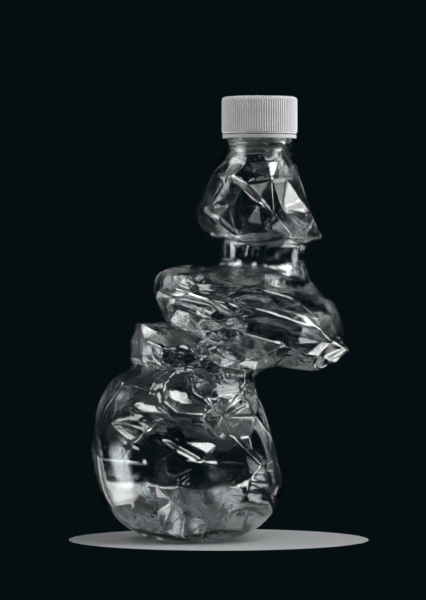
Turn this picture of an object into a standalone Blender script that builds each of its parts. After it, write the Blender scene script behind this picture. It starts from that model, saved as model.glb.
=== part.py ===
"""A crushed clear drink bottle, standing on its base with its screw cap on.

The bottle was blown as one shell. It has been twisted and pressed down, so its wall lies in
tilted folds. Metres, +Z up, the front faces -Y, and the bottle stands on Z = 0.
"""

import math
import random
from collections import namedtuple

import bmesh
import bpy
import numpy as np

# Columns of the shell. A fold line breaks into this many flat facets, each four columns wide.
FACETS = 14
COLUMNS_PER_FACET = 4

# Neck finish: the moulded top of the bottle, which the crushing has left round
NECK_X = 0.0163
NECK_Y = -0.0020
NECK_RADIUS = 0.01245
NECK_WALL = 0.00160
BORE_RADIUS = NECK_RADIUS - NECK_WALL
FINISH_HEIGHT = 0.0162
LIP_CHAMFER = 0.0005
RING_REACH = 0.00305
RING_RADIUS = NECK_RADIUS + RING_REACH
RING_THICKNESS = 0.0012
RING_EDGE = 0.0003
BEAD_REACH = 0.00145
BEAD_RADIUS = NECK_RADIUS + BEAD_REACH
BEAD_RISE = 0.0030
BEAD_WIDTH = 0.0010
BEAD_SLOPE = 0.0008
COLLAR_STEP = 0.00045
COLLAR_RADIUS = NECK_RADIUS + COLLAR_STEP
COLLAR_HEIGHT = 0.0063

# Walls of the blown shell, which is thin over the body and thick at the base
SHOULDER_WALL = 0.0005
BODY_WALL = 0.0003
HEEL_WALL = 0.0010
BASE_WALL = 0.0022

# Screw cap, which clears the bead that its tamper band used to hold
RIB_COUNT = 96
RIB_DEPTH = 0.00030
SKIRT_WALL = 0.0006
SKIRT_CLEARANCE = 0.0003
SKIRT_BORE_RADIUS = BEAD_RADIUS + SKIRT_CLEARANCE
SKIRT_RADIUS = SKIRT_BORE_RADIUS + SKIRT_WALL + RIB_DEPTH
CAP_TOP = 0.0016
CAP_EDGE = 0.0014
CAP_RIM = 0.0008
SEAL_HEIGHT = 0.0028
SEAL_WALL = 0.0009
SEAL_CLEARANCE = 0.0003
LIP_CLEARANCE = 0.0003

# Tamper band: the ring that the cap leaves on the neck when it is first opened
BAND_HEIGHT = 0.0014
BAND_WALL = 0.00055
BAND_HOLD = 0.0003
BAND_FLAP = 0.0006
BAND_CLEARANCE = 0.0003
BAND_RADIUS = BEAD_RADIUS + BAND_CLEARANCE + BAND_WALL
BAND_SLIT = 0.0004
BAND_FLOOR_CLEARANCE = 0.0003

# Each fold line of the shell, from the shoulder down to the base: its left and right ends, its
# depth from front to back, how far its middle lies behind the centre and how much its back is
# raised. Facet is 0 where the wall is still round and 1 where it is creased flat, and crumple
# is how far a crease's corners stray. Rows is how many rows of faces lead to the next line:
# over two rows the corners move on by half a facet, so that the wall there breaks into triangles.
Fold = namedtuple("Fold", "left_x left_z right_x right_z depth y lift facet crumple wall rows")
FOLDS = {
    "shoulder_top": Fold(
        0.0008, 0.1524, 0.0304, 0.1518, 0.0300, -0.0018, 0.0, 0.0, 0.0, SHOULDER_WALL, 2),
    "shoulder_crease": Fold(
        -0.0027, 0.1456, 0.0321, 0.1452, 0.0370, -0.0014, 0.0010, 1.0, 0.0018, BODY_WALL, 2),
    "shoulder_ridge": Fold(
        -0.0090, 0.1310, 0.0388, 0.1273, 0.0480, -0.0010, -0.0020, 1.0, 0.0034, BODY_WALL, 2),
    "shoulder_skirt": Fold(
        -0.0055, 0.1225, 0.0406, 0.1206, 0.0460, -0.0004, 0.0, 1.0, 0.0030, BODY_WALL, 1),
    "shoulder_under": Fold(
        -0.0030, 0.1204, 0.0380, 0.1180, 0.0400, 0.0, 0.0, 0.8, 0.0014, BODY_WALL, 1),
    "waist_top": Fold(
        0.0010, 0.1194, 0.0351, 0.1167, 0.0345, 0.0, 0.0, 0.3, 0.0004, BODY_WALL, 1),
    "waist": Fold(
        0.0014, 0.1150, 0.0343, 0.1132, 0.0330, 0.0, 0.0, 0.0, 0.0, BODY_WALL, 1),
    "waist_foot": Fold(
        0.0008, 0.1104, 0.0345, 0.1090, 0.0336, 0.0, 0.0, 0.0, 0.0, BODY_WALL, 1),
    "flare": Fold(
        -0.0016, 0.1082, 0.0369, 0.1034, 0.0400, -0.0004, 0.0, 0.3, 0.0006, BODY_WALL, 1),
    "upper_pleat_top": Fold(
        -0.0096, 0.1085, 0.0406, 0.0992, 0.0530, -0.0008, 0.0010, 1.0, 0.0016, BODY_WALL, 1),
    "upper_pleat_brow": Fold(
        -0.0194, 0.1092, 0.0457, 0.0944, 0.0640, -0.0012, 0.0020, 1.0, 0.0026, BODY_WALL, 2),
    "upper_pleat_tuck": Fold(
        -0.0250, 0.1050, 0.0495, 0.0880, 0.0630, -0.0012, 0.0010, 1.0, 0.0024, BODY_WALL, 1),
    "upper_pleat_ridge": Fold(
        -0.0261, 0.1010, 0.0516, 0.0800, 0.0720, -0.0012, -0.0020, 1.0, 0.0024, BODY_WALL, 2),
    "upper_pleat_crease": Fold(
        -0.0252, 0.0965, 0.0514, 0.0755, 0.0650, -0.0012, -0.0020, 1.0, 0.0028, BODY_WALL, 1),
    "upper_pleat_belly": Fold(
        -0.0236, 0.0925, 0.0465, 0.0705, 0.0690, -0.0010, -0.0010, 1.0, 0.0026, BODY_WALL, 2),
    "upper_pleat_foot": Fold(
        -0.0219, 0.0885, 0.0406, 0.0665, 0.0600, -0.0004, 0.0, 1.0, 0.0024, BODY_WALL, 1),
    "middle_groove": Fold(
        -0.0208, 0.0872, 0.0215, 0.0686, 0.0450, 0.0, 0.0, 1.0, 0.0014, BODY_WALL, 1),
    "lower_pleat_top": Fold(
        -0.0329, 0.0869, 0.0173, 0.0669, 0.0540, 0.0006, 0.0, 1.0, 0.0016, BODY_WALL, 2),
    "lower_pleat_ridge": Fold(
        -0.0359, 0.0796, 0.0149, 0.0654, 0.0600, 0.0010, -0.0010, 1.0, 0.0022, BODY_WALL, 1),
    "lower_pleat_foot": Fold(
        -0.0359, 0.0720, 0.0144, 0.0626, 0.0560, 0.0008, -0.0010, 1.0, 0.0020, BODY_WALL, 1),
    "lower_groove": Fold(
        -0.0344, 0.0704, 0.0148, 0.0595, 0.0510, 0.0004, 0.0, 1.0, 0.0010, BODY_WALL, 1),
    "belly_top": Fold(
        -0.0433, 0.0630, 0.0153, 0.0568, 0.0630, 0.0, 0.0, 1.0, 0.0022, BODY_WALL, 2),
    "belly_crease": Fold(
        -0.0476, 0.0551, 0.0180, 0.0516, 0.0680, 0.0, 0.0030, 1.0, 0.0032, BODY_WALL, 2),
    "belly": Fold(
        -0.0500, 0.0453, 0.0210, 0.0416, 0.0740, 0.0, 0.0010, 1.0, 0.0026, BODY_WALL, 2),
    "upper_line": Fold(
        -0.0516, 0.0348, 0.0241, 0.0305, 0.0770, 0.0, 0.0, 0.4, 0.0012, BODY_WALL, 1),
    "lower_line": Fold(
        -0.0500, 0.0246, 0.0262, 0.0215, 0.0766, 0.0, 0.0, 0.2, 0.0006, BODY_WALL, 1),
    "heel_top": Fold(
        -0.0476, 0.0159, 0.0251, 0.0165, 0.0730, 0.0, 0.0, 0.2, 0.0006, HEEL_WALL, 1),
    "heel": Fold(
        -0.0427, 0.0086, 0.0222, 0.0104, 0.0650, 0.0, 0.0, 0.2, 0.0004, HEEL_WALL, 1),
    "heel_foot": Fold(
        -0.0341, 0.0030, 0.0161, 0.0043, 0.0510, 0.0, 0.0, 0.0, 0.0, HEEL_WALL, 1),
    "rest_outside": Fold(
        -0.0275, 0.0, 0.0065, 0.0, 0.0400, 0.0, 0.0, 0.0, 0.0, BASE_WALL, 1),
    "rest_inside": Fold(
        -0.0245, 0.0, 0.0035, 0.0, 0.0340, 0.0, 0.0, 0.0, 0.0, BASE_WALL, 1),
    "push_up_wall": Fold(
        -0.0225, 0.0060, -0.0010, 0.0055, 0.0260, 0.0, 0.0, 0.5, 0.0006, BASE_WALL, 1),
    "push_up_crown": Fold(
        -0.0185, 0.0130, -0.0075, 0.0120, 0.0150, 0.0, 0.0, 0.8, 0.0010, BASE_WALL, 1),
}
PUSH_UP_PEAK = (-0.0130, 0.0, 0.0160)

# Points on the front where several creases meet: the fold line whose nearest corner comes to
# it, its x and z, and how far the wall is pressed in there, or stands out where that is negative
PINCHES = [
    ("shoulder_crease", 0.0045, 0.1444, -0.0012),
    ("shoulder_crease", 0.0110, 0.1424, 0.0012),
    ("shoulder_crease", 0.0205, 0.1432, -0.0012),
    ("shoulder_crease", 0.0275, 0.1444, 0.0008),
    ("shoulder_ridge", 0.0041, 0.1340, 0.0018),
    ("shoulder_ridge", 0.0160, 0.1336, -0.0014),
    ("shoulder_ridge", 0.0262, 0.1324, 0.0016),
    ("upper_pleat_foot", 0.0265, 0.0735, 0.0030),
    ("lower_groove", -0.0131, 0.0690, 0.0),
    ("belly_crease", -0.0004, 0.0496, 0.0045),
    ("upper_line", 0.0145, 0.0295, 0.0020),
]

# The oval dish pressed into the front below the folds
DISH_X = -0.0127
DISH_Z = 0.0596
DISH_HALF_WIDTH = 0.0115
DISH_HALF_HEIGHT = 0.0090
DISH_DEPTH = 0.0030

# How a crease's corners stray: the share of a facet that they move along their fold line, the
# least share of the line's crumple that they move out or in, and the most that they move up or down
DRIFT_ALONG = 0.25
LEAST_STRAY = 0.4
MOST_RISE = 0.6

COLUMNS = FACETS * COLUMNS_PER_FACET
RING_Z = FOLDS["shoulder_top"].left_z + COLLAR_HEIGHT
LIP_Z = RING_Z + FINISH_HEIGHT
TURNED_STEPS = 56


def clear_scene():
    for thing in list(bpy.data.objects):
        bpy.data.objects.remove(thing, do_unlink=True)


def make_collection(name):
    collection = bpy.data.collections.new(name)
    bpy.context.scene.collection.children.link(collection)
    return collection


def plastic(name, colour, roughness, transmission=0.0):
    material = bpy.data.materials.new(name)
    material.use_nodes = True
    shader = material.node_tree.nodes["Principled BSDF"]
    shader.inputs["Base Color"].default_value = (*colour, 1.0)
    shader.inputs["Roughness"].default_value = roughness
    shader.inputs["Metallic"].default_value = 0.0
    shader.inputs["Transmission Weight"].default_value = transmission
    return material


def mix(a, b, share):
    return a + (b - a) * share


def fold_frame(fold):
    """The middle of a fold line and its half axes to the right and to the back."""
    left = np.array([fold.left_x, fold.y, fold.left_z])
    right = np.array([fold.right_x, fold.y, fold.right_z])
    back = np.array([0.0, fold.depth / 2, fold.lift])
    return (left + right) / 2, (right - left) / 2, back


def on_fold(fold, facet_position):
    """The point of a fold line's oval at a place counted in facets from its right end."""
    middle, right, back = fold_frame(fold)
    angle = 2 * math.pi * facet_position / FACETS
    return middle + math.cos(angle) * right + math.sin(angle) * back


def fold_corners(fold, band):
    """The corners where a fold line's creases meet, each strayed from the oval.

    Fold lines of one band stray alike. The ends seen from the front stay where they are, so
    the outline does too.
    """
    rng = random.Random(band)
    middle, right, back = fold_frame(fold)
    shift = 0.5 * (band % 2)
    reach = 1 / math.cos(math.pi / FACETS) if shift else 1.0
    corners = []
    for number in range(FACETS):
        angle = 2 * math.pi * (number + shift) / FACETS
        freedom = abs(math.sin(angle))
        angle += freedom * rng.uniform(-DRIFT_ALONG, DRIFT_ALONG) * 2 * math.pi / FACETS
        out = math.cos(angle) * right + math.sin(angle) * back
        stray = freedom * fold.crumple * rng.choice((-1.0, 1.0)) * rng.uniform(LEAST_STRAY, 1.0)
        point = middle + out * (reach + stray / np.linalg.norm(out))
        point[2] += freedom * fold.crumple * rng.uniform(-MOST_RISE, MOST_RISE)
        corners.append(point)
    return corners


def pinch(corners, x, z, depth):
    """Bring a fold line's nearest front corner to a point where creases meet."""
    front = [corner for corner in corners if corner[1] < 0]
    nearest = min(front, key=lambda corner: abs(corner[0] - x))
    nearest[0] = x
    nearest[1] += depth
    nearest[2] = z


def on_chord(corners, shift, position):
    """The point of the creased fold line at a place counted in facets."""
    before = math.floor(position - shift)
    return mix(corners[before % FACETS], corners[(before + 1) % FACETS], position - shift - before)


def between(upper, lower, shifts, share, position):
    """A point on the flat triangles that fill the strip between two creased fold lines."""
    for corners, shift, other, other_shift, near in (
        (upper, shifts[0], lower, shifts[1], share),
        (lower, shifts[1], upper, shifts[0], 1 - share),
    ):
        apex = math.floor(position - other_shift + 0.5) + other_shift
        offset = position - apex
        if near < 1 and abs(offset) <= 0.5 * (1 - near) + 1e-9:
            base = on_chord(corners, shift, apex + offset / (1 - near))
            return mix(base, other[int(round(apex - other_shift)) % FACETS], near)
    raise ValueError("the strip has a gap")


def press_dish(point):
    """Press the dish into a point of the front wall."""
    x = (point[0] - DISH_X) / DISH_HALF_WIDTH
    z = (point[2] - DISH_Z) / DISH_HALF_HEIGHT
    inside = 1 - x * x - z * z
    if point[1] < 0 and inside > 0:
        point[1] += DISH_DEPTH * math.sqrt(inside)
    return point


def fold_bands():
    """The band of each fold line: a new one starts where two rows of triangles end."""
    bands = [0]
    for fold in list(FOLDS.values())[:-1]:
        bands.append(bands[-1] + fold.rows - 1)
    return bands


def body_rows():
    """The rows of the shell's outer face and their walls, from the shoulder to the base."""
    folds = list(FOLDS.values())
    bands = fold_bands()
    corners = {name: fold_corners(fold, band) for (name, fold), band in zip(FOLDS.items(), bands)}
    for name, x, z, depth in PINCHES:
        pinch(corners[name], x, z, depth)
    corners = list(corners.values())
    shifts = [0.5 * (band % 2) for band in bands]
    rows = []
    walls = []
    for number, fold in enumerate(folds):
        last = number == len(folds) - 1
        below = fold if last else folds[number + 1]
        for step in range(1 if last else fold.rows):
            share = step / fold.rows
            facet = mix(fold.facet, below.facet, share)
            row = []
            for column in range(COLUMNS):
                position = column / COLUMNS_PER_FACET
                smooth = mix(on_fold(fold, position), on_fold(below, position), share)
                if step == 0:
                    creased = on_chord(corners[number], shifts[number], position)
                else:
                    creased = between(
                        corners[number], corners[number + 1], shifts[number:number + 2],
                        share, position,
                    )
                row.append(press_dish(mix(smooth, creased, facet)))
            rows.append(row)
            walls.append(mix(fold.wall, below.wall, share))
    return rows, walls


def circle(radius, z):
    """A row of the neck."""
    angles = [2 * math.pi * column / COLUMNS for column in range(COLUMNS)]
    return [
        np.array([NECK_X + radius * math.cos(a), NECK_Y + radius * math.sin(a), z]) for a in angles
    ]


def neck_rows():
    """The neck's outer rows and its bore's rows, both from the lip down."""
    bead_z = RING_Z + RING_THICKNESS + BEAD_RISE
    outer = [
        circle(NECK_RADIUS - LIP_CHAMFER, LIP_Z),
        circle(NECK_RADIUS, LIP_Z - LIP_CHAMFER),
        circle(NECK_RADIUS, bead_z + BEAD_SLOPE),
        circle(BEAD_RADIUS, bead_z),
        circle(BEAD_RADIUS, bead_z - BEAD_WIDTH),
        circle(NECK_RADIUS, bead_z - BEAD_WIDTH),
        circle(NECK_RADIUS, RING_Z + RING_THICKNESS),
        circle(RING_RADIUS - RING_EDGE, RING_Z + RING_THICKNESS),
        circle(RING_RADIUS, RING_Z + RING_THICKNESS - RING_EDGE),
        circle(RING_RADIUS, RING_Z + RING_EDGE),
        circle(RING_RADIUS - RING_EDGE, RING_Z),
        circle(COLLAR_RADIUS, RING_Z),
    ]
    bore = [
        circle(BORE_RADIUS + LIP_CHAMFER, LIP_Z),
        circle(BORE_RADIUS, LIP_Z - LIP_CHAMFER),
        circle(BORE_RADIUS, RING_Z),
    ]
    return outer, bore


def inner_rows(rows, walls):
    """The shell's inner face: each point moved in by the wall along the surface's normal."""
    grid = np.array(rows)
    around = np.roll(grid, -1, axis=1) - np.roll(grid, 1, axis=1)
    down = np.gradient(grid, axis=0)
    normals = np.cross(down, around)
    normals /= np.linalg.norm(normals, axis=2, keepdims=True)
    return list(grid - normals * np.array(walls)[:, None, None])


def loft(name, rings, first_pole, last_pole, slant):
    """A closed surface through a chain of rings, with a point at each end.

    Slant says, for a strip and a column, which diagonal splits the face.
    """
    mesh_data = bmesh.new()
    loops = [[mesh_data.verts.new(point) for point in ring] for ring in rings]
    poles = mesh_data.verts.new(first_pole), mesh_data.verts.new(last_pole)
    count = len(loops[0])
    for strip, (upper, lower) in enumerate(zip(loops, loops[1:])):
        for column in range(count):
            after = (column + 1) % count
            a, b, c, d = upper[column], lower[column], lower[after], upper[after]
            if slant(strip, column):
                mesh_data.faces.new((a, b, c))
                mesh_data.faces.new((a, c, d))
            else:
                mesh_data.faces.new((a, b, d))
                mesh_data.faces.new((b, c, d))
    for column in range(count):
        after = (column + 1) % count
        mesh_data.faces.new((poles[0], loops[0][column], loops[0][after]))
        mesh_data.faces.new((poles[1], loops[-1][after], loops[-1][column]))
    mesh = bpy.data.meshes.new(name)
    mesh_data.to_mesh(mesh)
    mesh_data.free()
    return mesh


def add_object(name, mesh, collection, material):
    thing = bpy.data.objects.new(name, mesh)
    collection.objects.link(thing)
    mesh.materials.append(material)
    return thing


def build_bottle(collection, material):
    """The blown shell, from the middle of its inner base over the lip to the outer base."""
    rows, walls = body_rows()
    inner = inner_rows(rows, walls)
    outer_neck, bore = neck_rows()
    rings = inner[::-1] + bore[::-1] + outer_neck + rows
    strip_bands = [
        band for fold, band in zip(FOLDS.values(), fold_bands()) for _ in range(fold.rows)
    ]
    first_outer = len(rings) - len(rows)
    last_inner = len(inner) - 1

    def slant(strip, column):
        """Follow the creases, which fan out from the corners of the fold line above."""
        outside = strip >= first_outer
        row = strip - first_outer if outside else last_inner - 1 - strip
        band = strip_bands[row] if 0 <= row < len(strip_bands) else 0
        rising = (column // (COLUMNS_PER_FACET // 2) + band) % 2 == 0
        return rising == outside

    peak = np.array(PUSH_UP_PEAK)
    inner_peak = peak + np.array([0.0, 0.0, BASE_WALL])
    mesh = loft("bottle", rings, inner_peak, peak, slant)
    mesh.shade_smooth()
    mesh.set_sharp_from_angle(angle=math.radians(18))
    return add_object("bottle", mesh, collection, material)


def turned(name, profile, collection, closed=False):
    """A turned shape about the neck's axis, from its outer side downwards."""
    mesh = bpy.data.meshes.new(name)
    edges = [(i, i + 1) for i in range(len(profile) - 1)]
    if closed:
        edges.append((len(profile) - 1, 0))
    mesh.from_pydata([(radius, 0.0, z) for radius, z in profile], edges, [])
    thing = bpy.data.objects.new(name, mesh)
    thing.location = (NECK_X, NECK_Y, 0.0)
    collection.objects.link(thing)
    screw = thing.modifiers.new("turn", "SCREW")
    screw.axis = "Z"
    screw.steps = TURNED_STEPS
    screw.render_steps = TURNED_STEPS
    screw.use_merge_vertices = True
    screw.merge_threshold = 0.00001
    screw.use_smooth_shade = False
    return thing


def ribbed_ring(radius, z, rib):
    """A row of the cap's outside, with a rib at every other point."""
    count = 2 * RIB_COUNT
    ring = []
    for number in range(count):
        angle = 2 * math.pi * number / count
        reach = radius - rib * (number % 2)
        ring.append((reach * math.cos(angle), reach * math.sin(angle), z))
    return ring


def build_cap(collection, cutters, material):
    """The closure: a ribbed skirt and a top, with a plug seal that enters the bore."""
    under = LIP_Z + LIP_CLEARANCE
    top = under + CAP_TOP
    bottom = band_top() + BAND_SLIT
    soft = CAP_EDGE * (1 - math.sqrt(0.5))
    rings = [
        ribbed_ring(SKIRT_RADIUS - CAP_EDGE, top, 0.0),
        ribbed_ring(SKIRT_RADIUS - soft, top - soft, 0.0),
        ribbed_ring(SKIRT_RADIUS, top - CAP_EDGE, RIB_DEPTH),
        ribbed_ring(SKIRT_RADIUS, bottom + CAP_RIM, RIB_DEPTH),
        ribbed_ring(SKIRT_RADIUS - RIB_DEPTH, bottom + CAP_RIM - RIB_DEPTH, 0.0),
        ribbed_ring(SKIRT_RADIUS - RIB_DEPTH, bottom, 0.0),
    ]
    mesh = loft("cap", rings, (0.0, 0.0, top), (0.0, 0.0, bottom), lambda strip, column: True)
    cap = add_object("cap", mesh, collection, material)
    cap.location = (NECK_X, NECK_Y, 0.0)

    seal_out = BORE_RADIUS - SEAL_CLEARANCE
    seal_in = seal_out - SEAL_WALL
    seal_foot = under - SEAL_HEIGHT
    deep = bottom - CAP_TOP
    hollow = turned(
        "cap_hollow",
        [
            (0.0, under),
            (seal_in, under),
            (seal_in, seal_foot),
            (seal_out, seal_foot),
            (seal_out, under),
            (SKIRT_BORE_RADIUS, under),
            (SKIRT_BORE_RADIUS, deep),
            (0.0, deep),
        ],
        cutters,
    )
    hollow.hide_render = True
    hollow.display_type = "WIRE"
    cut = cap.modifiers.new("hollow", "BOOLEAN")
    cut.operation = "DIFFERENCE"
    cut.object = hollow
    return cap


def band_top():
    return RING_Z + RING_THICKNESS + BAND_FLOOR_CLEARANCE + BAND_HEIGHT


def build_band(collection, material):
    """The band lies on the support ring, and its flap is too narrow to pass the bead."""
    bottom = RING_Z + RING_THICKNESS + BAND_FLOOR_CLEARANCE
    top = band_top()
    hold = BEAD_RADIUS - BAND_HOLD
    clear = BEAD_RADIUS + BAND_CLEARANCE
    band = turned(
        "tamper_band",
        [
            (BAND_RADIUS, top),
            (BAND_RADIUS, bottom),
            (clear, bottom),
            (hold, bottom + BAND_FLAP / 2),
            (hold, bottom + BAND_FLAP),
            (clear, bottom + 2 * BAND_FLAP),
            (clear, top),
        ],
        collection,
        closed=True,
    )
    band.data.materials.append(material)
    return band


def main():
    clear_scene()
    collection = make_collection("crushed_plastic_bottle")
    cutters = make_collection("cutters")
    build_bottle(collection, plastic("clear_pet", (0.86, 0.90, 0.90), 0.04, 1.0))
    build_cap(collection, cutters, plastic("white_cap", (0.72, 0.73, 0.72), 0.45))
    build_band(collection, plastic("white_band", (0.70, 0.71, 0.70), 0.45))


main()
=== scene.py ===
"""Looks of the crushed drink bottle: clear shell, neck thread, ribbed cap and tamper band."""

from collections import namedtuple
import math

import bmesh
import bpy
import numpy as np
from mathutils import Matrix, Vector
from mathutils.geometry import delaunay_2d_cdt


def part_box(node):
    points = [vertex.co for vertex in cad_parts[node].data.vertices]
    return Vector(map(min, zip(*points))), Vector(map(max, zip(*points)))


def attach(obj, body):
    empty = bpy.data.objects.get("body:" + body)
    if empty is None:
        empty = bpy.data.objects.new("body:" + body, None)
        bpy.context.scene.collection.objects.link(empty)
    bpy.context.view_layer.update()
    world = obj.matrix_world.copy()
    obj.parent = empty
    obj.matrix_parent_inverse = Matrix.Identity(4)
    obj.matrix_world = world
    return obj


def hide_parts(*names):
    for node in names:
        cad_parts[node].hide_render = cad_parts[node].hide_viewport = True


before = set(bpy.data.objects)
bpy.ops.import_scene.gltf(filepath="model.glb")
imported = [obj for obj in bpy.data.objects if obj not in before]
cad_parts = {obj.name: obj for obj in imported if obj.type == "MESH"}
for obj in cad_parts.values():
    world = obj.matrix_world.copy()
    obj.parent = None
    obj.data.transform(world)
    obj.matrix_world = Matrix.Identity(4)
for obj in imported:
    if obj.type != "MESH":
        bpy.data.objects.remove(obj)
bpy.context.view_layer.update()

# The photograph's scale and the pixel that lies over the frame's origin
PIXEL = 0.0004
ORIGIN_PX = (218.7, 539.1)
FRAME_WIDTH_PX = 426
FRAME_HEIGHT_PX = 600

# Camera
CAMERA_DISTANCE = 1.6
CAMERA_HEIGHT = 0.115
SENSOR_MM = 36.0

# Floor: a small pale disc, a hair below the bottle's standing ring
FLOOR_RADIUS = 0.060
FLOOR_SEGMENTS = 128
FLOOR_DROP = 0.0002

# World: the fill that lights matt surfaces, and the near black that is seen
FILL_COLOUR = (0.80, 0.86, 0.90)
FILL_STRENGTH = 0.15
SEEN_COLOUR = (0.0016, 0.0045, 0.0060)

# The share of a lamp's half width over which its light fades out
LAMP_FADE = 0.7

# Colours
FLOOR_COLOUR = (0.50, 0.51, 0.52)
SPECKLE_SHADE = 0.92
PET_COLOUR = (0.935, 0.968, 0.972)
PET_DUST_COLOUR = (0.80, 0.81, 0.80)
CAP_COLOUR = (0.74, 0.74, 0.75)
BAND_COLOUR = (0.68, 0.68, 0.69)
PATCH_SHADE = 0.90
DUST_COLOUR = (0.55, 0.53, 0.50)
RUBBED_COLOUR = (0.86, 0.86, 0.85)
SCUFF_COLOUR = (0.60, 0.60, 0.59)

# Handling wear: the scales of its noises, how scuffs are turned and drawn out, and their width
RUB_SCALE = 160.0
DUST_SCALE = 90.0
SCUFF_PATCH_SCALE = 70.0
MOTTLE_SCALE = 45.0
SCUFF_TURN = (0.5, 0.9, 0.4)
SCUFF_STRETCH = (0.12, 1.0, 0.5)
SCUFF_WIDTH = 0.012

# Clear wall: its fine wrinkles, drawn out along the pleats, and its roughness where it is
# scuffed, dusty, clean and filmed over
PET_IOR = 1.7
WRINKLE_SCALE = 150.0
WRINKLE_DISTORTION = 0.6
WRINKLE_STRETCH = (0.45, 0.6, 1.6)
WRINKLE_DEPTH = 0.00028
SCUFF_HAZE = 0.20
DUST_HAZE = 0.10
CLEAN_ROUGHNESS = 0.015
FILM_ROUGHNESS = 0.055

# Moulded plastic: its roughness where it is glossiest and dullest, and its grain's depth
GLOSSY_ROUGHNESS = 0.36
DULL_ROUGHNESS = 0.50
SCUFF_DULLING = 0.15
GRAIN_DEPTH = 0.00003

# Neck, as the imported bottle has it
_, BOTTLE_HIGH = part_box("bottle")
CAP_LOW, CAP_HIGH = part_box("cap")
NECK = Vector(((CAP_LOW.x + CAP_HIGH.x) / 2, (CAP_LOW.y + CAP_HIGH.y) / 2, 0.0))
LIP_Z = BOTTLE_HIGH.z
NECK_RADIUS = 0.01245
LIP_MIDDLE_RADIUS = 0.01165

# Neck thread. Its ridge is rounded at the crest, steeper above than below, and its root is sunk
# into the neck.
THREAD_CREST = 0.01350
THREAD_PITCH = 0.0027
THREAD_TURNS = 1.8
THREAD_TOP_DROP = 0.0022
THREAD_LOWER_FLANK = 0.0008
THREAD_UPPER_FLANK = 0.0006
THREAD_CREST_HALF = 0.0003
THREAD_ROUNDING = 0.0002
THREAD_SINK = 0.0002
THREAD_END_SINK = 0.0003
THREAD_STEPS = 64
THREAD_RUN_OUT = 0.12

# Creased wall. Folds sharper than this stay creased, but not in the waist's flare nor in the foot.
WALL = 0.0003
SHARP_FOLD = math.radians(16)
FOLD_SHARPNESS = 0.72
FLARE_FOOT = 0.1000
FLARE_TOP = 0.1170
ROUND_FOOT = 0.0200
SHELL_LEVELS = 3
MERGE_DISTANCE = 0.000002
LEVEL_SLACK = 0.00005
FLAT_ENOUGH = math.radians(6)
SQUARE_ENOUGH = math.radians(60)

# The shell's lengths, from the foot up, and the height of each one's top
SHELL_LENGTHS = (
    ("shell_foot", 0.0285), ("shell_belly", 0.0640), ("shell_lower_pleat", 0.0900),
    ("shell_upper_pleat", 0.1140), ("shell_shoulder", 0.1500), ("shell_neck", 1.0),
)

# How far the panels are rounded at each height in millimetres, from flat at 0 to smooth at 1
ROUNDING_BY_HEIGHT = (
    (0, 1.0), (30, 1.0), (38, 0.75), (60, 0.65), (97, 0.45), (101, 1.0), (118, 1.0), (123, 0.5),
    (144, 0.5), (150, 1.0), (180, 1.0),
)

# Pleats: the slab in which they lie, how far its middle plane is from the pleats' middle, over
# which distances from it they end, and how much flatter their panels are
PLEAT_TILT = math.radians(16)
PLEAT_MIDDLE = np.array((0.0125, 0.0, 0.0900))
PLEAT_DROP = 0.006
PLEAT_END = 0.034
PLEAT_CORE = 0.026
PLEAT_LEVELLING = 0.8
LEVEL_X = 0.012
PLEAT_FLATTENING = 0.6

# Random crumpling: the size of its panels and its chips in metres, and their rise in millimetres
PANEL_CELL = 0.0170
BODY_CHIP_CELL = 0.0080
PLEAT_CHIP_CELL = 0.0075
BODY_PANEL_RISE = 1.2
PLEAT_PANEL_RISE = 1.1
CHIP_RISE = 0.14
BODY_PANEL_SEED, BODY_CHIP_SEED, PLEAT_PANEL_SEED, PLEAT_CHIP_SEED = 3, 4, 5, 6
LATTICE = 32
LATTICE_BEND = 0.32
LATTICE_WAVE = 1.9
BACK_CALM = 0.45
BODY_CRINKLE = 0.04
PLEAT_CRINKLE = 0.24

# How much less a place crumples at random where a crease or a facet of the tables below shapes it
CREASE_CALM = 0.6
FACET_CALM = 0.85

# How far a wall must face the front for the tables' creases and facets to start and to be full
CREASE_FACING = (0.10, 0.40)
FACET_FACING = (0.0, 0.30)

CREASE_GAIN = 1.5
FLUTE_DEPTH = 0.00010

# How strong the crumpling is at each height, both in millimetres: the neck, the waist and the
# foot are smooth
CRUMPLE_BY_HEIGHT = (
    (0, 0.0), (5, 0.0), (12, 0.45), (24, 0.40), (34, 0.4), (45, 0.5), (62, 1.0), (97, 1.0),
    (102, 0.8), (115, 0.8), (118, 0.8), (124, 0.5), (142, 0.4), (147, 0.1), (154, 0.0), (180, 0.0),
)

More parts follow.
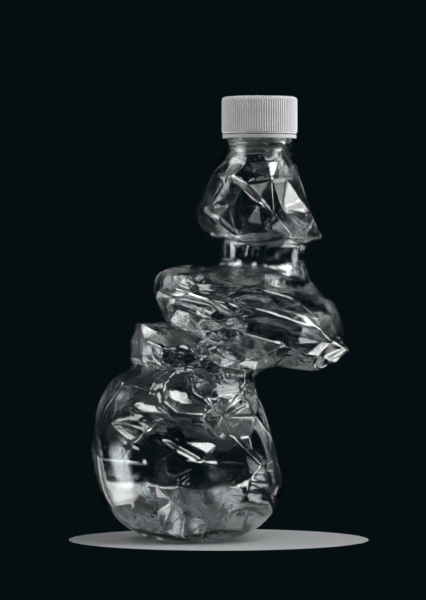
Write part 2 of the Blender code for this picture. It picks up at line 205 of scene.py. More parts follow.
# Creases of the front wall where the photograph has them. Points are photograph pixels, rise is
# the height of the crease in millimetres, and left and right are how far its two slopes reach,
# in pixels, as seen when going along its points.
Crease = namedtuple("Crease", "rise left right points")
FRONT_CREASES = (
    # Shoulder
    Crease(0.25, 3, 3, ((212, 175), (230, 178), (247, 182.5), (270, 180.5), (300, 176))),
    Crease(0.35, 3, 3, ((202, 208), (218.5, 223), (237.6, 239))),
    # Waist
    Crease(-0.4, 6, 14, ((252, 246), (250, 282))),
    # Upper pleat
    Crease(0.30, 3, 4, ((262, 290), (278, 304), (301.6, 313.5), (320.6, 332.5), (344, 348))),
    Crease(0.25, 3, 3, ((171, 267), (176, 281), (211, 291), (241, 288.6))),
    Crease(0.30, 3, 3, ((156, 286), (185, 297), (215, 304), (240, 322))),
    Crease(-0.30, 3, 3, ((200, 312), (240, 330), (280, 340), (300, 352))),
    Crease(0.30, 3, 3, ((257, 375), (270, 362), (285, 353), (303, 358), (318, 371))),
    Crease(0.25, 3, 3, ((222, 345), (205, 352), (186, 364))),
    # Lower pleat
    Crease(0.30, 3, 4, ((143, 323), (166, 330), (192, 347), (215, 343))),
    Crease(0.30, 3, 3, ((150.7, 342), (173, 349.5), (186, 364))),
    Crease(0.30, 3, 3, ((124, 366), (137, 363), (147, 371), (160, 385))),
    # Upper belly
    Crease(0.9, 9, 6, (
        (186, 366), (172, 378), (164.7, 383.5), (161, 392), (164, 402), (176.5, 412), (197, 413.6),
        (218, 415))),
    Crease(0.8, 5, 6, ((186, 364), (195, 391), (203, 398), (218, 415))),
    Crease(0.6, 6, 6, ((203, 396), (222, 401), (238, 385))),
    Crease(0.7, 5, 5, ((218, 415), (240, 403), (262, 394))),
    Crease(0.8, 4, 7, ((144, 416), (180, 421), (218, 416))),
    Crease(0.8, 6, 7, ((144, 424), (128, 423), (115, 423), (128, 436), (145, 443), (150, 453))),
    Crease(0.8, 7, 5, ((218, 416), (224, 431), (240, 447), (256, 463))),
    Crease(0.5, 5, 5, ((150, 392), (130, 405), (115, 423))),
    Crease(-0.6, 7, 7, ((160, 425), (178, 440), (200, 452))),
    # Lower belly
    Crease(0.3, 3, 4, ((88, 452), (132, 455), (157, 457), (200, 459), (256, 463))),
    Crease(0.25, 3, 4, ((94, 479), (153, 478), (177, 478), (219, 483.5), (242, 487))),
    Crease(-0.5, 4, 4, ((157, 464), (175, 475), (192, 466))),
    Crease(0.7, 4, 4, ((242, 487), (250, 472), (256, 463))),
    Crease(0.6, 4, 4, ((256, 463), (270, 459), (284, 455))),
    Crease(0.6, 4, 4, ((256, 463), (270, 468), (285, 467))),
    Crease(0.6, 4, 4, ((250, 474), (266, 476), (284, 474))),
    Crease(0.8, 7, 7, ((214, 525), (228, 508), (243, 494.6), (262, 500), (268, 510))),
    Crease(-0.6, 7, 7, ((232, 516), (248, 507), (262, 512))),
)

# Corners of the shoulder's triangular facets: photograph pixels, and how far each stands out of
# the round wall, in millimetres
SHOULDER_CORNERS = (
    (228, 150, 0.0), (288, 150, 0.0), (212, 168, 0.0), (204, 180, 0.0), (196, 196, 0.0),
    (190, 211, 0.0), (192, 226, 0.0), (202, 240, 0.0), (300, 163, 0.0), (306, 180, 0.0),
    (311, 196, 0.0), (318, 212, 0.0), (324, 226, 0.0), (326, 240, 0.0), (222, 243, 0.0),
    (250, 243, 0.5), (280, 243, -0.5), (306, 246, 0.0),
    (240, 163, -0.5), (262, 165, 0.5), (279, 161, -0.7), (230, 178, 0.6), (246, 183, -0.4),
    (270, 181, 0.8), (288, 178, -1.0), (214, 205, 0.9), (229, 204, -0.6), (258.7, 205, 1.3),
    (284, 208, -1.6), (302, 211, 0.8), (217, 224, 1.5), (241, 223, -0.5), (262, 226, 0.3),
    (284, 236, 1.2), (274, 221, -1.0), (304, 227, 0.9), (236, 238, 0.9),
)

# Corners of the belly's facets, in the same way
BELLY_CORNERS = (
    (140, 364, 0.0), (130, 374, 0.0), (117, 392, 0.0), (104, 412, 0.0), (95, 434, 0.0),
    (90, 452, 0.0), (93, 479, 0.0), (103, 508, 0.0), (124, 530, 0.0), (160, 538, 0.0),
    (200, 539, 0.0), (240, 534, 0.0), (270, 518, 0.0), (282, 498, 0.0), (285, 470, 0.0),
    (278, 440, 0.0), (268, 412, 0.0), (258, 388, 0.0), (252, 376, 0.0),
    (186, 366, 0.8), (150, 386, -1.0), (134, 400, -0.6), (165, 386, 0.5), (163, 402, 1.2),
    (177, 412, 0.9), (197, 414, 0.6), (218, 416, 0.9), (190, 388, -1.0), (204, 397, 0.6),
    (222, 372, -0.9), (238, 385, 0.7), (248, 397, -0.5), (262, 394, 0.4),
    (114, 422, 0.4), (150, 423, -1.6), (186, 421, -1.4), (152, 456, 1.6), (176, 456, 1.1),
    (200, 458, 0.2), (122, 444, -0.6), (240, 446, 1.0), (256, 463, 1.2), (216, 440, -0.7),
    (262, 424, -0.6), (272, 456, 0.5), (270, 474, -0.7), (112, 462, 0.0), (130, 479, 0.2),
    (157, 478, 0.2), (176, 476, -0.7), (192, 466, 0.3), (219, 484, 0.3), (243, 488, 0.9),
    (250, 475, -0.8), (112, 494, 0.1), (135, 498, 0.2), (175, 494, 1.6), (156, 508, -1.5),
    (166, 520, 1.8), (190, 502, 0.9), (184, 514, -1.5), (205, 513, 1.5), (214, 527, -1.2),
    (182, 528, 1.4), (140, 520, 1.0), (228, 508, -1.2), (244, 496, 1.5), (263, 500, 1.4),
    (250, 512, -1.3), (240, 522, 1.0), (264, 486, -0.7),
)

# Corners of the two pleats' facets, in the same way
PLEAT_CORNERS = (
    (152, 283, 0.0), (158, 273, 0.0), (171, 267, 0.0), (190, 270, 0.0), (211, 275, 0.0),
    (232, 282, 0.0), (262, 284, 0.0), (290, 280, 0.0), (312, 276, 0.0), (325, 300, 0.0),
    (340, 320, 0.0), (347, 345, 0.0), (318, 372, 0.0), (300, 368, 0.0), (280, 362, 0.0),
    (252, 376, 0.0), (220, 366, 0.0), (156, 294, 0.0), (163, 308, 0.0), (141, 318, 0.0),
    (132, 326, 0.0), (129, 345, 0.0), (130, 362, 0.0), (142, 367, 0.0), (166, 368, 0.0),
    (178, 290, 0.9), (196, 281, -0.8), (186, 298, -0.7), (211, 289, 0.5), (206, 301, -0.8),
    (228, 297, 1.1), (242, 290, 0.9), (244, 301, -1.0), (262, 292, 0.5), (258, 303, -0.4),
    (284, 307, 0.3), (232, 313, 1.0), (255, 309, 1.2), (277, 312, 0.7), (300, 326, 0.6),
    (317, 341, 0.4), (238, 321, -1.0), (258, 326, -0.8), (281, 334, -0.8), (288, 292, 0.2),
    (300, 302, 0.4), (313, 298, 0.0), (314, 318, 0.2), (303, 337, 0.5), (325, 357, -1.0),
    (334, 338, 0.6), (216, 311, 0.3), (200, 322, 0.8), (188, 312, -0.9), (175, 324, 0.5),
    (206, 338, 0.9), (186, 335, -0.4), (212, 329, -0.9), (223, 341, 0.9), (240, 341, -0.6),
    (251, 350, 0.7), (263, 345, -0.5), (276, 346, 0.6), (290, 347, -0.8), (306, 352, 0.6),
    (272, 360, 0.7), (259, 361, -0.8), (240, 359, 0.6), (225, 354, -0.9), (205, 352, 0.6),
    (191, 347, 0.8), (165, 331, 0.5), (150, 343, 1.4), (173, 350, -0.8), (158, 357, 0.9),
    (144, 332, 0.8), (138, 355, 0.5), (150, 364, 0.1),
)
SHOULDER_GAIN = 0.9
BELLY_GAIN = 1.3
PLEAT_GAIN = 1.2


def photo_point(px, py):
    """Where a pixel of the photograph lies in the plane through the bottle's middle."""
    return (px - ORIGIN_PX[0]) * PIXEL, (ORIGIN_PX[1] - py) * PIXEL


def smoothstep(low, high, value):
    share = np.clip((value - low) / (high - low), 0.0, 1.0)
    return share * share * (3 - 2 * share)


def new_object(name, mesh):
    thing = bpy.data.objects.new(name, mesh)
    bpy.context.scene.collection.objects.link(thing)
    return thing


def value_node(nodes, links, operation, first, second):
    """A Math node fed by sockets or numbers."""
    node = nodes.new("ShaderNodeMath")
    node.operation = operation
    for socket, given in zip(node.inputs, (first, second)):
        if isinstance(given, bpy.types.NodeSocket):
            links.new(given, socket)
        else:
            socket.default_value = given
    return node.outputs[0]


# Camera, lights and stage


def place_camera():
    data = bpy.data.cameras.new("camera")
    data.sensor_fit = "VERTICAL"
    data.sensor_width = SENSOR_MM
    data.sensor_height = SENSOR_MM
    data.lens = SENSOR_MM * CAMERA_DISTANCE / (FRAME_HEIGHT_PX * PIXEL)
    camera = bpy.data.objects.new("camera", data)
    bpy.context.scene.collection.objects.link(camera)
    middle_x, middle_z = photo_point(FRAME_WIDTH_PX / 2, FRAME_HEIGHT_PX / 2)
    target = Vector((middle_x, 0.0, middle_z))
    camera.location = (middle_x, -CAMERA_DISTANCE, CAMERA_HEIGHT)
    camera.rotation_euler = (target - camera.location).to_track_quat("-Z", "Y").to_euler()
    bpy.context.scene.camera = camera


def softbox(name, place, width, height, radiance, mirrored=True, aim=(0.0, 0.0, 0.09)):
    """A soft rectangular lamp facing the bottle, given by how bright its face looks.

    One that isn't mirrored lights the cap and the floor but leaves no streak on the clear wall.
    """
    data = bpy.data.lights.new(name, "AREA")
    data.shape = "RECTANGLE"
    data.size = width
    data.size_y = height
    data.energy = radiance * math.pi * width * height
    fade_edges(data)
    lamp = bpy.data.objects.new(name, data)
    bpy.context.scene.collection.objects.link(lamp)
    lamp.location = place
    lamp.rotation_euler = (Vector(aim) - Vector(place)).to_track_quat("-Z", "Y").to_euler()
    lamp.visible_glossy = mirrored


def fade_edges(data):
    """Let a lamp's face fade to black at its rim, as a diffuser with one bulb behind it does.

    The lamps light and are mirrored, but aren't seen straight through the clear wall, as the
    camera doesn't see them beside it either.
    """
    data.use_nodes = True
    nodes, links = data.node_tree.nodes, data.node_tree.links
    face = nodes.new("ShaderNodeNewGeometry")
    centred = nodes.new("ShaderNodeVectorMath")
    centred.operation = "MULTIPLY_ADD"
    centred.inputs[1].default_value = (2.0, 2.0, 0.0)
    centred.inputs[2].default_value = (-1.0, -1.0, 0.0)
    round_fade = nodes.new("ShaderNodeTexGradient")
    round_fade.gradient_type = "SPHERICAL"
    eased = nodes.new("ShaderNodeMapRange")
    eased.interpolation_type = "SMOOTHSTEP"
    eased.inputs["From Max"].default_value = LAMP_FADE
    links.new(face.outputs["Parametric"], centred.inputs[0])
    links.new(centred.outputs[0], round_fade.inputs["Vector"])
    links.new(round_fade.outputs["Fac"], eased.inputs["Value"])
    ray = nodes.new("ShaderNodeLightPath").outputs
    bounces = value_node(nodes, links, "ADD", ray["Glossy Depth"], ray["Diffuse Depth"])
    unbounced = value_node(nodes, links, "LESS_THAN", bounces, 0.5)
    passed = value_node(nodes, links, "GREATER_THAN", ray["Transmission Depth"], 0.5)
    straight = value_node(nodes, links, "MULTIPLY", passed, unbounced)
    shown = value_node(nodes, links, "SUBTRACT", 1.0, straight)
    strength = value_node(nodes, links, "MULTIPLY", eased.outputs["Result"], shown)
    links.new(strength, nodes["Emission"].inputs["Strength"])


def light_studio():
    softbox("low_left_softbox", (-0.51, 0.07, -0.32), 0.80, 0.60, 4.4)
    softbox("low_right_softbox", (0.49, 0.08, -0.35), 0.66, 0.54, 5.0)
    softbox("high_left_softbox", (-0.50, -0.10, 0.62), 0.70, 0.50, 4.3)
    softbox("high_right_softbox", (0.55, -0.12, 0.60), 0.62, 0.52, 7.0)
    softbox("top_softbox", (0.38, -0.36, 1.00), 0.80, 0.64, 6.2)
    softbox("front_strip", (-0.40, -0.57, 0.10), 0.05, 0.45, 4.5)
    softbox("right_strip", (0.58, 0.08, 0.14), 0.34, 0.60, 5.8, mirrored=False)
    softbox("left_rim", (-0.42, 0.45, -0.16), 0.14, 0.40, 1.4)
    softbox("right_rim", (0.42, 0.45, -0.16), 0.12, 0.40, 1.6)


def background(nodes, colour, strength):
    node = nodes.new("ShaderNodeBackground")
    node.inputs["Color"].default_value = (*colour, 1)
    node.inputs["Strength"].default_value = strength
    return node.outputs[0]


def dark_backdrop():
    """A world that fills the shadows, and that the camera and the clear wall see as near black."""
    world = bpy.data.worlds.new("studio")
    world.use_nodes = True
    nodes, links = world.node_tree.nodes, world.node_tree.links
    nodes.clear()
    out = nodes.new("ShaderNodeOutputWorld")
    blend = nodes.new("ShaderNodeMixShader")
    rays = nodes.new("ShaderNodeLightPath").outputs
    mirrored = value_node(nodes, links, "MAXIMUM", rays["Is Camera Ray"], rays["Is Glossy Ray"])
    seen = value_node(nodes, links, "MAXIMUM", mirrored, rays["Is Transmission Ray"])
    links.new(seen, blend.inputs["Fac"])
    links.new(background(nodes, FILL_COLOUR, FILL_STRENGTH), blend.inputs[1])
    links.new(background(nodes, SEEN_COLOUR, 1.0), blend.inputs[2])
    links.new(blend.outputs[0], out.inputs["Surface"])
    bpy.context.scene.world = world


def build_floor(material):
    mesh_data = bmesh.new()
    bmesh.ops.create_circle(
        mesh_data, cap_ends=True, radius=FLOOR_RADIUS, segments=FLOOR_SEGMENTS)
    mesh = bpy.data.meshes.new("floor")
    mesh_data.to_mesh(mesh)
    mesh_data.free()
    floor = new_object("floor", mesh)
    floor.location.z = -FLOOR_DROP
    mesh.materials.append(material)


# Materials


def noise_node(nodes, links, vector, scale, detail=2.0, roughness=0.5):
    node = nodes.new("ShaderNodeTexNoise")
    node.inputs["Scale"].default_value = scale
    node.inputs["Detail"].default_value = detail
    node.inputs["Roughness"].default_value = roughness
    links.new(vector, node.inputs["Vector"])
    return node.outputs["Fac"]


def range_node(nodes, links, value, low, high, to_low=0.0, to_high=1.0):
    node = nodes.new("ShaderNodeMapRange")
    node.interpolation_type = "SMOOTHSTEP"
    node.inputs["From Min"].default_value = low
    node.inputs["From Max"].default_value = high
    node.inputs["To Min"].default_value = to_low
    node.inputs["To Max"].default_value = to_high
    links.new(value, node.inputs["Value"])
    return node.outputs["Result"]


def new_group(name, inputs, outputs):
    """An empty node group with float inputs (name, value) and outputs of the given kinds."""
    group = bpy.data.node_groups.new(name, "ShaderNodeTree")
    for label, value in inputs:
        socket = group.interface.new_socket(label, in_out="INPUT", socket_type="NodeSocketFloat")
        socket.default_value = value
    for label, kind in outputs:
        group.interface.new_socket(label, in_out="OUTPUT", socket_type=kind)
    return group, group.nodes.new("NodeGroupInput"), group.nodes.new("NodeGroupOutput")


def handling_wear():
    """Rubbed edges, dust that settles from above, scuffs and fine grain, for every plastic here."""
    group, given, out = new_group(
        "handling_wear",
        (("Grain Scale", 900.0), ("Scuff Scale", 220.0), ("Edge Width", 0.0006)),
        (("Edge", "NodeSocketFloat"), ("Dust", "NodeSocketFloat"), ("Scuff", "NodeSocketFloat"),
         ("Grain", "NodeSocketFloat"), ("Mottle", "NodeSocketFloat")),
    )
    nodes, links = group.nodes, group.links
    place = nodes.new("ShaderNodeTexCoord").outputs["Object"]
    shape = nodes.new("ShaderNodeNewGeometry")
    # The more a rounded normal differs from the true one, the nearer the edge
    rounded = nodes.new("ShaderNodeBevel")
    rounded.samples = 4
    links.new(given.outputs["Edge Width"], rounded.inputs["Radius"])
    turn = nodes.new("ShaderNodeVectorMath")
    turn.operation = "DOT_PRODUCT"
    links.new(rounded.outputs["Normal"], turn.inputs[0])
    links.new(shape.outputs["Normal"], turn.inputs[1])
    bent = value_node(nodes, links, "SUBTRACT", 1.0, turn.outputs["Value"])
    patchy = noise_node(nodes, links, place, RUB_SCALE, 3.0)
    rubbed = range_node(nodes, links, patchy, 0.40, 0.65)
    edge = value_node(nodes, links, "MULTIPLY", range_node(nodes, links, bent, 0.01, 0.12), rubbed)
    # Dust lies where the wall faces up
    facing = nodes.new("ShaderNodeSeparateXYZ")
    links.new(shape.outputs["Normal"], facing.inputs[0])
    settled = range_node(nodes, links, facing.outputs["Z"], 0.35, 1.0)
    clouds = range_node(
        nodes, links, noise_node(nodes, links, place, DUST_SCALE, 4.0), 0.42, 0.68)
    dust = value_node(nodes, links, "MULTIPLY", settled, clouds)
    # Scuffs are short scratches: stretched noise, cut to thin lines
    stretch = nodes.new("ShaderNodeMapping")
    stretch.inputs["Rotation"].default_value = SCUFF_TURN
    stretch.inputs["Scale"].default_value = SCUFF_STRETCH
    links.new(place, stretch.inputs["Vector"])
    streaks = nodes.new("ShaderNodeTexNoise")
    streaks.inputs["Detail"].default_value = 2.0
    links.new(stretch.outputs[0], streaks.inputs["Vector"])
    links.new(given.outputs["Scuff Scale"], streaks.inputs["Scale"])
    line = value_node(nodes, links, "ABSOLUTE", value_node(
        nodes, links, "SUBTRACT", streaks.outputs["Fac"], 0.5), 0.0)
    thin = range_node(nodes, links, line, 0.0, SCUFF_WIDTH, 1.0, 0.0)
    worn = range_node(
        nodes, links, noise_node(nodes, links, place, SCUFF_PATCH_SCALE, 2.0), 0.50, 0.62)
    scuff = value_node(nodes, links, "MULTIPLY", thin, worn)
    grain = nodes.new("ShaderNodeTexNoise")
    grain.inputs["Detail"].default_value = 2.0
    links.new(place, grain.inputs["Vector"])
    links.new(given.outputs["Grain Scale"], grain.inputs["Scale"])
    mottle = noise_node(nodes, links, place, MOTTLE_SCALE, 3.0)
    for label, value in (("Edge", edge), ("Dust", dust), ("Scuff", scuff),
                         ("Grain", grain.outputs["Fac"]), ("Mottle", mottle)):
        links.new(value, out.inputs[label])
    return group


def wear_in(nodes, group, **values):
    node = nodes.new("ShaderNodeGroup")
    node.node_tree = group
    for label, value in values.items():
        node.inputs[label.replace("_", " ")].default_value = value
    return node.outputs


def colour_mix(nodes, links, share, first, second):
    """Mix of two colours, each a tuple or a socket."""
    node = nodes.new("ShaderNodeMix")
    node.data_type = "RGBA"
    links.new(share, node.inputs["Factor"])
    for socket, given in ((node.inputs[6], first), (node.inputs[7], second)):
        if isinstance(given, tuple):
            socket.default_value = (*given, 1)
        else:
            links.new(given, socket)
    return node.outputs[2]


def principled(name, colour, roughness):
    material = bpy.data.materials.new(name)
    material.use_nodes = True
    shader = material.node_tree.nodes["Principled BSDF"]
    shader.inputs["Base Color"].default_value = (*colour, 1)
    shader.inputs["Roughness"].default_value = roughness
    return material, shader


def clear_pet(wear):
    """Clear stretched PET: glossy, a little hazy where it is scuffed and where dust lies."""
    material, shader = principled("clear_pet", PET_COLOUR, CLEAN_ROUGHNESS)
    nodes, links = material.node_tree.nodes, material.node_tree.links
    shader.inputs["Transmission Weight"].default_value = 1.0
    shader.inputs["IOR"].default_value = PET_IOR
    # Wrinkles run along the pleats, and are as deep as the shell's crinkle attribute says
    place = nodes.new("ShaderNodeTexCoord")
    along_pleats = nodes.new("ShaderNodeMapping")
    along_pleats.inputs["Rotation"].default_value = (0.0, -PLEAT_TILT, 0.0)
    along_pleats.inputs["Scale"].default_value = WRINKLE_STRETCH
    wrinkles = nodes.new("ShaderNodeTexNoise")
    wrinkles.inputs["Scale"].default_value = WRINKLE_SCALE
    wrinkles.inputs["Detail"].default_value = 1.0
    wrinkles.inputs["Roughness"].default_value = 0.4
    wrinkles.inputs["Distortion"].default_value = WRINKLE_DISTORTION
    crinkle = nodes.new("ShaderNodeAttribute")
    crinkle.attribute_name = "crinkle"
    bump = nodes.new("ShaderNodeBump")
    bump.inputs["Strength"].default_value = 1.0
    bump.inputs["Distance"].default_value = WRINKLE_DEPTH
    links.new(place.outputs["Object"], along_pleats.inputs["Vector"])
    links.new(along_pleats.outputs["Vector"], wrinkles.inputs["Vector"])
    links.new(
        value_node(nodes, links, "MULTIPLY", wrinkles.outputs["Fac"], crinkle.outputs["Fac"]),
        bump.inputs["Height"])
    links.new(bump.outputs["Normal"], shader.inputs["Normal"])
    marks = wear_in(nodes, wear, Grain_Scale=1400.0, Scuff_Scale=160.0)
    haze = value_node(nodes, links, "MULTIPLY", marks["Scuff"], SCUFF_HAZE)
    veil = value_node(nodes, links, "MULTIPLY", marks["Dust"], DUST_HAZE)
    film = range_node(nodes, links, marks["Mottle"], 0.35, 0.70, CLEAN_ROUGHNESS, FILM_ROUGHNESS)
    rough = value_node(nodes, links, "ADD", value_node(nodes, links, "ADD", haze, veil), film)
    links.new(rough, shader.inputs["Roughness"])
    dusty = colour_mix(nodes, links, marks["Dust"], PET_COLOUR, PET_DUST_COLOUR)
    links.new(dusty, shader.inputs["Base Color"])
    return material


def moulded_white(wear, name, colour):
    """Satin moulded plastic: fine grain, greyer in patches, rubbed at its edges, dust on top."""
    material, shader = principled(name, colour, GLOSSY_ROUGHNESS)
    nodes, links = material.node_tree.nodes, material.node_tree.links
    marks = wear_in(nodes, wear)
    darker = tuple(PATCH_SHADE * share for share in colour)
    patches = colour_mix(
        nodes, links, range_node(nodes, links, marks["Mottle"], 0.35, 0.70), colour, darker)
    dusty = colour_mix(nodes, links, marks["Dust"], patches, DUST_COLOUR)
    edged = colour_mix(nodes, links, marks["Edge"], dusty, RUBBED_COLOUR)
    scuffed = colour_mix(nodes, links, marks["Scuff"], edged, SCUFF_COLOUR)
    links.new(scuffed, shader.inputs["Base Color"])
    gloss = range_node(
        nodes, links, marks["Mottle"], 0.30, 0.75, GLOSSY_ROUGHNESS, DULL_ROUGHNESS)
    dulled = value_node(nodes, links, "MULTIPLY", marks["Scuff"], SCUFF_DULLING)
    links.new(value_node(nodes, links, "ADD", gloss, dulled), shader.inputs["Roughness"])
    bump = nodes.new("ShaderNodeBump")
    bump.inputs["Distance"].default_value = GRAIN_DEPTH
    links.new(value_node(nodes, links, "SUBTRACT", marks["Grain"], marks["Scuff"]),
              bump.inputs["Height"])
    links.new(bump.outputs["Normal"], shader.inputs["Normal"])
    return material


def pale_tabletop(wear):
    """Matt pale laminate with a faint speckle."""
    material, shader = principled("pale_floor", FLOOR_COLOUR, 0.5)
    nodes, links = material.node_tree.nodes, material.node_tree.links
    marks = wear_in(nodes, wear, Grain_Scale=500.0)
    darker = tuple(SPECKLE_SHADE * share for share in FLOOR_COLOUR)
    speckle = range_node(nodes, links, marks["Grain"], 0.40, 0.65)
    links.new(colour_mix(nodes, links, speckle, FLOOR_COLOUR, darker), shader.inputs["Base Color"])
    return material


# Shell


def merged_copy(node):
    """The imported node's mesh with its loose triangles joined up, as a bmesh."""
    mesh_data = bmesh.new()
    mesh_data.from_mesh(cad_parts[node].data)
    bmesh.ops.remove_doubles(mesh_data, verts=mesh_data.verts, dist=MERGE_DISTANCE)
    return mesh_data


def mark_outside(mesh_data):
    """Note on each vertex whether it belongs to the shell's outer face or to its inner one."""
    layer = mesh_data.verts.layers.float.new("outside")

    def across_lip(edge):
        a, b = edge.verts
        level = min(a.co.z, b.co.z) > LIP_Z - LEVEL_SLACK
        radii = [(v.co - NECK).xy.length for v in (a, b)]
        return level and min(radii) < LIP_MIDDLE_RADIUS < max(radii)

    start = max(mesh_data.verts, key=lambda vertex: vertex.co.x)
    start[layer] = 1.0
    found = [start]
    while found:
        vertex = found.pop()
        for edge in vertex.link_edges:
            other = edge.other_vert(vertex)
            if other[layer] == 0.0 and not across_lip(edge):
                other[layer] = 1.0
                found.append(other)


def fold_edges(mesh_data):
    """Keep the folds sharp where the smooth shell is made from its flat facets."""
    layer = mesh_data.edges.layers.float.new("crease_edge")
    for edge in mesh_data.edges:
        height = (edge.verts[0].co.z + edge.verts[1].co.z) / 2
        if FLARE_FOOT < height < FLARE_TOP or height < ROUND_FOOT:
            continue
        if len(edge.link_faces) == 2 and edge.calc_face_angle() > SHARP_FOLD:
            edge[layer] = FOLD_SHARPNESS


def smooth_shell():
    """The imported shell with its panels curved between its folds."""
    mesh_data = merged_copy("bottle")
    mark_outside(mesh_data)
    bmesh.ops.join_triangles(
        mesh_data, faces=mesh_data.faces, angle_face_threshold=FLAT_ENOUGH,
        angle_shape_threshold=SQUARE_ENOUGH,
    )
    fold_edges(mesh_data)
    cage = bpy.data.meshes.new("shell_cage")
    mesh_data.to_mesh(cage)
    mesh_data.free()
    thing = new_object("shell_cage", cage)
    modifier = thing.modifiers.new("panels", "SUBSURF")
    modifier.levels = SHELL_LEVELS
    modifier.render_levels = SHELL_LEVELS
    made = []
    for kind in ("SIMPLE", "CATMULL_CLARK"):
        modifier.subdivision_type = kind
        evaluated = thing.evaluated_get(bpy.context.evaluated_depsgraph_get())
        made.append(bpy.data.meshes.new_from_object(evaluated))
    bpy.data.objects.remove(thing)
    flat, mesh = made
    table = np.array(ROUNDING_BY_HEIGHT)
    rounding = np.interp(points_of(mesh)[:, 2] * 1000, table[:, 0], table[:, 1])[:, None]
    mixed = points_of(flat) * (1 - rounding) + points_of(mesh) * rounding
    mesh.vertices.foreach_set("co", mixed.ravel())
    mesh.update()
    mesh.name = "shell"
    return mesh


def points_of(mesh):
    points = np.empty(len(mesh.vertices) * 3)
    mesh.vertices.foreach_get("co", points)
    return points.reshape(-1, 3)


def normals_of(mesh):
    normals = np.empty(len(mesh.vertices) * 3)
    mesh.vertex_normals.foreach_get("vector", normals)
    return normals.reshape(-1, 3)


def facets(points, cell, seed):
    """Flat facets from -1 to 1: random heights at the corners of a bent lattice, straight between."""
    random = np.random.default_rng(seed)
    turn, _ = np.linalg.qr(random.normal(size=(3, 3)))
    heights = random.uniform(-1, 1, size=(LATTICE, LATTICE, LATTICE))
    place = points @ turn.T / cell
    swayed = np.sin(place[:, [1, 2, 0]] * LATTICE_WAVE + random.uniform(0, 6, 3))
    place = place + LATTICE_BEND * swayed
    corner = np.floor(place).astype(int)
    share = place - corner
    order = np.argsort(-share, axis=1)
    rows = np.arange(len(points))

    def height_at(lattice):
        return heights[tuple((lattice % LATTICE).T)]

    reached = height_at(corner)
    total = reached.copy()
    for step in range(3):
        axis = order[:, step]
        corner[rows, axis] += 1
        following = height_at(corner)
        total += (following - reached) * share[rows, axis]
        reached = following
    return total


def crumpling(points):
    """Height of the random crumpling at each point in metres, and how finely it is crinkled."""
    tilt = np.array((math.sin(PLEAT_TILT), 0.0, math.cos(PLEAT_TILT)))
    across = (points - PLEAT_MIDDLE) @ tilt
    in_pleats = smoothstep(PLEAT_END, PLEAT_CORE, np.abs(across + PLEAT_DROP))
    # The table of strengths follows the pleats' slope
    slope = (points[:, 0] - LEVEL_X) * 1000 * math.tan(PLEAT_TILT) * PLEAT_LEVELLING
    table = np.array(CRUMPLE_BY_HEIGHT)
    strength = np.interp(points[:, 2] * 1000 + in_pleats * slope, table[:, 0], table[:, 1])
    body = (BODY_PANEL_RISE * facets(points, PANEL_CELL, BODY_PANEL_SEED)
            + CHIP_RISE * facets(points, BODY_CHIP_CELL, BODY_CHIP_SEED))
    flattened = points + PLEAT_FLATTENING * across[:, None] * tilt
    pleats = (PLEAT_PANEL_RISE * facets(flattened, PANEL_CELL, PLEAT_PANEL_SEED)
              + CHIP_RISE * facets(flattened, PLEAT_CHIP_CELL, PLEAT_CHIP_SEED))
    height = body * (1 - in_pleats) + pleats * in_pleats
    calm = 1 - BACK_CALM * smoothstep(-0.005, 0.010, points[:, 1]) * (1 - in_pleats)
    crinkle = strength * (BODY_CRINKLE + PLEAT_CRINKLE * in_pleats)
    return 0.001 * height * strength * calm, crinkle


def fluting(points):
    """Soft upright flutes round the waist, in metres."""
    around = np.arctan2(points[:, 1] - NECK.y, points[:, 0] - NECK.x)
    height = points[:, 2]
    at_waist = smoothstep(0.098, 0.106, height) * smoothstep(0.124, 0.116, height)
    waves = np.sin(3 * around + 0.6) + 0.5 * np.sin(5 * around + 2.1)
    return FLUTE_DEPTH * at_waist * waves


def photo_pixels(points):
    """Where points lie in the photograph, in pixels."""
    return points[:, 0] / PIXEL + ORIGIN_PX[0], ORIGIN_PX[1] - points[:, 2] / PIXEL


def creasing(points, normals):
    """Height of the front wall's own creases at each point, in metres, and how near a crease is."""
    x, y = photo_pixels(points)
    ridges = np.zeros(len(points))
    valleys = np.zeros(len(points))
    nearness = np.zeros(len(points))
    for crease in FRONT_CREASES:
        path = np.array(crease.points, float)
        reach = max(crease.left, crease.right)
        near = np.flatnonzero(
            (x > path[:, 0].min() - reach) & (x < path[:, 0].max() + reach)
            & (y > path[:, 1].min() - reach) & (y < path[:, 1].max() + reach))
        if not len(near):
            continue
        distance = np.full(len(near), np.inf)
        width = np.full(len(near), 1.0)
        for start, end in zip(path[:-1], path[1:]):
            along = end - start
            length = float(along @ along)
            dx = x[near] - start[0]
            dy = y[near] - start[1]
            share = np.clip((dx * along[0] + dy * along[1]) / length, 0, 1)
            here = np.hypot(dx - share * along[0], dy - share * along[1])
            on_left = along[0] * dy - along[1] * dx < 0
            closer = here < distance
            distance = np.where(closer, here, distance)
            width = np.where(closer, np.where(on_left, crease.left, crease.right), width)
        # Half a sharp ridge, half a soft one
        tent = np.clip(1 - distance / width, 0, 1)
        tent = 0.5 * tent + 0.5 * tent * tent * (3 - 2 * tent)
        nearness[near] = np.maximum(nearness[near], tent)
        if crease.rise > 0:
            ridges[near] = np.maximum(ridges[near], crease.rise * tent)
        else:
            valleys[near] = np.minimum(valleys[near], crease.rise * tent)
    front = smoothstep(*CREASE_FACING, -normals[:, 1])
    return 0.001 * (ridges + valleys) * front, nearness * front


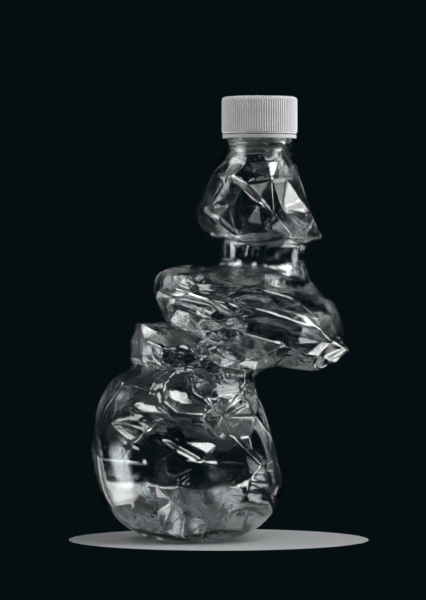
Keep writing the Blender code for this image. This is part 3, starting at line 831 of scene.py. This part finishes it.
def raised_facets(points, normals, corners):
    """Height of flat facets stretched between corners on the front wall, and where they lie."""
    flat = [Vector(corner[:2]) for corner in corners]
    made, _, triangles, *_ = delaunay_2d_cdt(flat, [], [], 0, 0.001)
    height = np.zeros(len(points))
    inside = np.zeros(len(points))
    x, y = photo_pixels(points)
    for triangle in triangles:
        a, b, c = (corners[flat.index(made[index])] for index in triangle)
        area = (b[0] - a[0]) * (c[1] - a[1]) - (c[0] - a[0]) * (b[1] - a[1])
        share_b = ((x - a[0]) * (c[1] - a[1]) - (c[0] - a[0]) * (y - a[1])) / area
        share_c = ((b[0] - a[0]) * (y - a[1]) - (x - a[0]) * (b[1] - a[1])) / area
        here = (share_b >= 0) & (share_c >= 0) & (share_b + share_c <= 1)
        plane = a[2] + share_b * (b[2] - a[2]) + share_c * (c[2] - a[2])
        height[here] = plane[here]
        inside[here] = 1.0
    front = smoothstep(*FACET_FACING, -normals[:, 1])
    return 0.001 * height * front, inside * front


def crease_wall(mesh):
    """Crumple the shell, its outer and inner faces alike, so that the wall stays as thick."""
    points = points_of(mesh)
    normals = normals_of(mesh)
    outside = np.empty(len(points))
    mesh.attributes["outside"].data.foreach_get("value", outside)
    side = np.where(outside > 0.5, 1.0, -1.0)
    outward = normals * side[:, None]
    skin = points + outward * (WALL * (side < 0))[:, None]
    own, nearness = creasing(skin, outward)
    facet = np.zeros(len(points))
    faceted = np.zeros(len(points))
    for corners, gain in ((SHOULDER_CORNERS, SHOULDER_GAIN), (PLEAT_CORNERS, PLEAT_GAIN),
                          (BELLY_CORNERS, BELLY_GAIN)):
        raised, inside = raised_facets(skin, outward, corners)
        facet = facet + gain * raised * (1 - faceted)
        faceted = np.maximum(faceted, inside)
    height, crinkle = crumpling(skin)
    height = height * (1 - CREASE_CALM * nearness) * (1 - FACET_CALM * faceted)
    height = height + own * CREASE_GAIN + facet + fluting(skin)
    layer = mesh.attributes.new("crinkle", "FLOAT", "POINT")
    layer.data.foreach_set("value", crinkle)
    points = points + outward * height[:, None]
    mesh.vertices.foreach_set("co", points.ravel())
    mesh.update()


def part_of(mesh, name, low, high):
    """The faces of a mesh between two heights, with the shading of the whole mesh."""
    piece = mesh.copy()
    piece.name = name
    mesh_data = bmesh.new()
    mesh_data.from_mesh(piece)
    outside = [f for f in mesh_data.faces if not low <= f.calc_center_median().z < high]
    bmesh.ops.delete(mesh_data, geom=outside, context="FACES")
    mesh_data.to_mesh(piece)
    mesh_data.free()
    normals = np.empty(len(piece.vertices) * 3)
    piece.attributes["shading"].data.foreach_get("vector", normals)
    piece.normals_split_custom_set_from_vertices(normals.reshape(-1, 3))
    return piece


def build_shell(material):
    """The creased shell, in lengths that meet edge to edge, to keep each piece's mesh light."""
    mesh = smooth_shell()
    crease_wall(mesh)
    mesh.materials.clear()
    mesh.materials.append(material)
    mesh.shade_smooth()
    shading = mesh.attributes.new("shading", "FLOAT_VECTOR", "POINT")
    shading.data.foreach_set("vector", normals_of(mesh).ravel())
    low = -1.0
    for name, high in SHELL_LENGTHS:
        length = new_object(name, part_of(mesh, name, low, high))
        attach(length, "bottle")
        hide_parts("bottle")
        low = high


def build_thread(material):
    """The neck's right-hand thread: one tapered ridge that climbs round the finish under the cap."""
    foot = LIP_Z - THREAD_TOP_DROP - THREAD_PITCH * THREAD_TURNS
    mesh_data = bmesh.new()
    # Section of the ridge, from its buried root to its crest
    root = NECK_RADIUS - THREAD_SINK
    shoulder = THREAD_CREST - THREAD_ROUNDING
    section = (
        (root, -THREAD_LOWER_FLANK), (shoulder, -THREAD_CREST_HALF), (THREAD_CREST, 0.0),
        (shoulder, THREAD_CREST_HALF), (root, THREAD_UPPER_FLANK),
    )
    start = [mesh_data.verts.new((NECK.x + radius, NECK.y, foot + rise)) for radius, rise in section]
    loop = [mesh_data.edges.new((a, b)) for a, b in zip(start, start[1:] + start[:1])]
    bmesh.ops.spin(
        mesh_data, geom=start + loop, cent=(NECK.x, NECK.y, 0.0), axis=(0.0, 0.0, 1.0),
        dvec=(0.0, 0.0, THREAD_PITCH / THREAD_STEPS), angle=math.tau * THREAD_TURNS,
        steps=int(THREAD_TURNS * THREAD_STEPS), use_merge=False,
    )
    bmesh.ops.holes_fill(mesh_data, edges=[e for e in mesh_data.edges if e.is_boundary])
    # The ridge runs out at both ends
    for vertex in mesh_data.verts:
        out = Vector((vertex.co.x - NECK.x, vertex.co.y - NECK.y))
        around = (vertex.co.z - foot) / THREAD_PITCH
        fade = min(1.0, max(0.0, min(around, THREAD_TURNS - around) / THREAD_RUN_OUT))
        end_root = NECK_RADIUS - THREAD_END_SINK
        length = end_root + (out.length - end_root) * fade
        vertex.co.x = NECK.x + out.x / out.length * length
        vertex.co.y = NECK.y + out.y / out.length * length
    bmesh.ops.recalc_face_normals(mesh_data, faces=mesh_data.faces)
    mesh = bpy.data.meshes.new("neck_thread")
    mesh_data.to_mesh(mesh)
    mesh_data.free()
    mesh.materials.append(material)
    mesh.shade_smooth()
    thread = new_object("neck_thread", mesh)
    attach(thread, "bottle")


def dress(node, material):
    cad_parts[node].data.materials.clear()
    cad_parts[node].data.materials.append(material)


bpy.context.scene.view_settings.view_transform = "Standard"
bpy.context.scene.cycles.max_bounces = 32
bpy.context.scene.cycles.transmission_bounces = 32
bpy.context.scene.cycles.glossy_bounces = 8
place_camera()
light_studio()
dark_backdrop()
wear = handling_wear()
build_floor(pale_tabletop(wear))
clear = clear_pet(wear)
build_shell(clear)
build_thread(clear)
dress("cap", moulded_white(wear, "cap_white", CAP_COLOUR))
dress("tamper_band", moulded_white(wear, "band_white", BAND_COLOUR))
